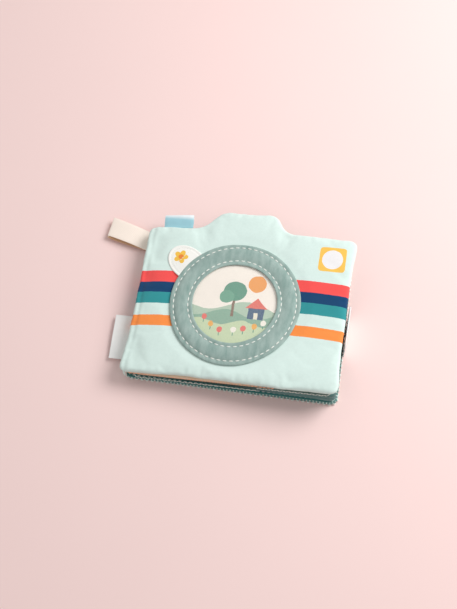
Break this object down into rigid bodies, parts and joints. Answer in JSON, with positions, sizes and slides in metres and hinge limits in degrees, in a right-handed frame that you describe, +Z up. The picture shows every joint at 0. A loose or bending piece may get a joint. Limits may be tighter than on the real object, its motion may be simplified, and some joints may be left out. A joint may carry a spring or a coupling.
{
  "type": "fabric photo album",
  "caption": "Soft camera-shaped photo album with padded covers, turning leaves with clear photo pockets, a lens window, sewn loops and a closing tab.",
  "frame": {"origin": "middle of the back cover's underside, on the surface that the closed album lies on", "axes": "+X from the spine to the fore edge, +Y from the bottom edge to the top edge with the hump, +Z up through the closed album"},
  "size_m": [0.2445, 0.176, 0.0352],
  "materials": {
    "mint_cotton": "matte woven",
    "wadding": "soft fibre",
    "clear_film": "clear soft film",
    "white_satin": "satin woven",
    "white_cotton": "matte woven",
    "peach_tape": "matte twill",
    "black_hook_pad": "hook and loop",
    "coral_cotton": "matte woven",
    "peach_cotton": "matte woven",
    "sea_green_cotton": "matte woven",
    "pale_sea_green_cotton": "matte woven",
    "navy_cotton": "matte woven",
    "teal_cotton": "matte woven",
    "grey_green_felt": "felt",
    "printed_cotton": "matte woven print",
    "blue_satin": "satin ribbon"
  },
  "bodies": {
    "back_cover": {"back_cover_outer": "mint_cotton", "back_cover_wadding": "wadding", "back_cover_lining": "teal_cotton", "back_cover_pocket_film": "clear_film", "spine_outer": "mint_cotton", "spine_wadding": "wadding", "spine_lining": "mint_cotton", "side_label": "white_satin", "hanging_loop": "peach_tape"},
    "leaf_3": {"leaf_3_front_page": "navy_cotton", "leaf_3_front_pocket_film": "clear_film", "leaf_3_wadding": "wadding", "leaf_3_back_pocket_film": "clear_film", "leaf_3_back_page": "teal_cotton", "leaf_3_binding": "navy_cotton"},
    "leaf_2": {"leaf_2_front_page": "sea_green_cotton", "leaf_2_front_pocket_film": "clear_film", "leaf_2_wadding": "wadding", "leaf_2_back_pocket_film": "clear_film", "leaf_2_back_page": "pale_sea_green_cotton", "leaf_2_binding": "sea_green_cotton"},
    "leaf_1": {"leaf_1_front_page": "coral_cotton", "leaf_1_front_pocket_film": "clear_film", "leaf_1_wadding": "wadding", "leaf_1_back_pocket_film": "clear_film", "leaf_1_back_page": "peach_cotton", "leaf_1_binding": "coral_cotton"},
    "front_cover": {"front_cover_outer": "mint_cotton", "front_cover_wadding": "wadding", "front_cover_lining": "peach_cotton", "front_cover_pocket_film": "clear_film", "lens_ring": "grey_green_felt", "lens_picture": "printed_cotton", "lens_window": "clear_film", "ribbon_loop": "blue_satin"},
    "peek_tab": {"peek_tab": "white_cotton"},
    "closing_tab": {"closing_tab": "white_cotton", "closing_tab_hook_pad": "black_hook_pad"}
  },
  "joints": [
    {"name": "leaf_3_turn", "type": "hinge", "parent": "back_cover", "child": "leaf_3", "pos_m": [-0.1, 0, 0.0138], "axis": [0, 1, 0], "range_deg": [-58, 0]},
    {"name": "leaf_2_turn", "type": "hinge", "parent": "leaf_3", "child": "leaf_2", "pos_m": [-0.1, 0, 0.0138], "axis": [0, 1, 0], "range_deg": [-58, 0]},
    {"name": "leaf_1_turn", "type": "hinge", "parent": "leaf_2", "child": "leaf_1", "pos_m": [-0.1, 0, 0.0138], "axis": [0, 1, 0], "range_deg": [-58, 0]},
    {"name": "front_cover_open", "type": "hinge", "parent": "leaf_1", "child": "front_cover", "pos_m": [-0.1, 0, 0.0138], "axis": [0, -1, 0], "range_deg": [0, 175]},
    {"name": "peek_tab_lift", "type": "hinge", "parent": "front_cover", "child": "peek_tab", "pos_m": [-0.05701, 0.04003, 0.02355], "axis": [0.5917, 0.8049, 0.0445], "range_deg": [0, 95]},
    {"name": "closing_tab_swing", "type": "hinge", "parent": "back_cover", "child": "closing_tab", "pos_m": [0.1003, 0, 0.0016], "axis": [0, 1, 0], "range_deg": [0, 87]}
  ]
}
